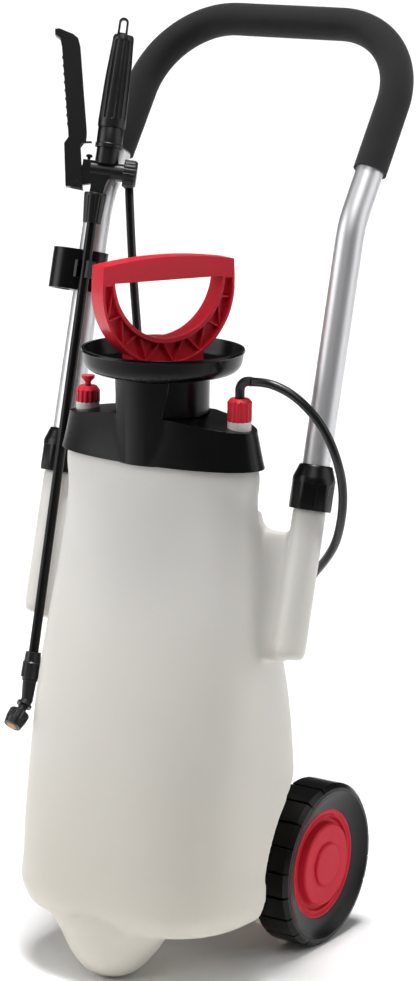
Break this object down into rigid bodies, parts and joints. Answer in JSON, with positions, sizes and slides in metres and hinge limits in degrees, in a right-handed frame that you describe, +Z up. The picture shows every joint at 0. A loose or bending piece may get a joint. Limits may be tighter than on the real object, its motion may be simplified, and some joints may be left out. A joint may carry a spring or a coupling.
{
  "type": "wheeled sprayer cart",
  "caption": "Pressure sprayer on wheels: milky tank with hand pump, relief valve and hose, leaning tube handle with foam grip, and a trigger spray gun with lance clipped to one leg.",
  "frame": {"origin": "on the ground under the middle of the cart's bounding box, measured without the hose", "axes": "+Z up, -Y the front with the foot and the shield, +Y the side of the wheels and the handle's lean, +X the side of the hose outlet"},
  "size_m": [0.3572, 0.3275, 0.8708],
  "materials": {
    "tank_plastic": "milky translucent blow-moulded polyethylene",
    "black_plastic": "satin moulded polypropylene",
    "red_plastic": "satin red moulded polypropylene",
    "white_plastic": "natural white moulded nylon",
    "foam": "closed-cell foam with a matte skin",
    "aluminium": "bright drawn tube",
    "steel": "zinc-plated steel",
    "tyre": "satin black moulded tread",
    "rubber": "black nitrile rubber",
    "brass": "turned brass",
    "hose_pvc": "smooth black reinforced hose"
  },
  "bodies": {
    "cart": {"tank_shell": "tank_plastic", "shoulder_cover": "black_plastic", "handle_tube": "aluminium", "foam_grip": "foam", "left_collar": "black_plastic", "right_collar": "black_plastic", "lance_clip": "black_plastic", "axle": "steel", "axle_washers": "white_plastic", "axle_retainers": "steel", "neck_gasket": "rubber", "relief_body": "white_plastic", "relief_nut": "red_plastic", "relief_seal": "rubber", "relief_spring": "steel", "outlet_base": "white_plastic", "hose_nut": "red_plastic", "hose_sleeve": "black_plastic", "dip_tube": "tank_plastic", "strainer": "black_plastic", "hose": "hose_pvc"},
    "left_wheel": {"left_tyre": "tyre", "left_rim": "red_plastic", "left_hub_cap": "red_plastic"},
    "right_wheel": {"right_tyre": "tyre", "right_rim": "red_plastic", "right_hub_cap": "red_plastic"},
    "pump_barrel": {"pump_cylinder": "black_plastic", "cylinder_valve": "rubber"},
    "pump_nut": {"pump_cap": "black_plastic", "rod_guide": "black_plastic"},
    "plunger": {"pump_handle": "red_plastic", "pump_rod": "black_plastic", "piston": "black_plastic", "piston_seal": "rubber"},
    "relief_stem": {"relief_knob": "red_plastic"},
    "spray_gun": {"gun_body": "black_plastic", "gun_grip": "black_plastic", "grip_collar": "black_plastic", "hanging_tab": "black_plastic", "lever_pin": "black_plastic", "valve_seal": "rubber", "valve_cap": "black_plastic", "lance_nut": "black_plastic", "lance_tube": "black_plastic", "nozzle_nut": "black_plastic", "nozzle_elbow": "black_plastic", "inlet_elbow": "black_plastic", "inlet_ferrule": "black_plastic"},
    "trigger": {"trigger_lever": "black_plastic"},
    "valve": {"valve_plunger": "brass", "valve_spring": "steel"},
    "lock": {"lock_button": "black_plastic"},
    "nozzle": {"nozzle_cap": "black_plastic", "nozzle_tip": "brass"}
  },
  "joints": [
    {"name": "left_wheel_spin", "type": "hinge", "parent": "cart", "child": "left_wheel", "pos_m": [-0.0891, 0.0567, 0.078], "axis": [1, 0, 0], "continuous": true},
    {"name": "right_wheel_spin", "type": "hinge", "parent": "cart", "child": "right_wheel", "pos_m": [0.1109, 0.0567, 0.078], "axis": [1, 0, 0], "continuous": true},
    {"name": "pump_lift", "type": "slide", "parent": "cart", "child": "pump_barrel", "axis": [0, 0, 1], "range_m": [0, 0.0102]},
    {"name": "cap_turn", "type": "hinge", "parent": "pump_barrel", "child": "pump_nut", "pos_m": [0.0109, -0.0563, 0.53], "axis": [0, 0, 1], "range_deg": [0, 900]},
    {"name": "pump_stroke", "type": "slide", "parent": "pump_nut", "child": "plunger", "axis": [0, 0, 1], "range_m": [0, 0.19]},
    {"name": "relief_pull", "type": "slide", "parent": "cart", "child": "relief_stem", "axis": [0, 0, 1], "range_m": [0, 0.003], "stiffness_N_per_m": 800, "springref_m": -0.004, "deforming": ["relief_spring"]},
    {"name": "gun_unclip", "type": "slide", "parent": "cart", "child": "spray_gun", "axis": [0, -0.9711, 0.2385], "range_m": [0, 0.03]},
    {"name": "trigger_squeeze", "type": "hinge", "parent": "spray_gun", "child": "trigger", "pos_m": [-0.12927, 0.00386, 0.70697], "axis": [-0.5446, 0.8145, -0.2001], "range_deg": [0, 11], "stiffness_Nm_per_rad": 0.6, "springref_deg": -8.59},
    {"name": "valve_open", "type": "slide", "parent": "spray_gun", "child": "valve", "axis": [0.8386, 0.5314, -0.1197], "range_m": [0, 0.0029]},
    {"name": "lock_push", "type": "slide", "parent": "spray_gun", "child": "lock", "axis": [0.0088, -0.233, -0.9724], "range_m": [0, 0.0024], "stiffness_N_per_m": 200, "springref_m": -0.002},
    {"name": "nozzle_turn", "type": "hinge", "parent": "spray_gun", "child": "nozzle", "pos_m": [-0.10956, -0.10884, 0.22584], "axis": [-0.0326, -0.738, -0.674], "range_deg": [0, 360]}
  ],
  "couplings": [
    {"joint": "pump_lift", "follows": "cap_turn", "m_per_rad": 0.00063662},
    {"joint": "valve_open", "follows": "trigger_squeeze", "m_per_rad": 0.0151}
  ]
}
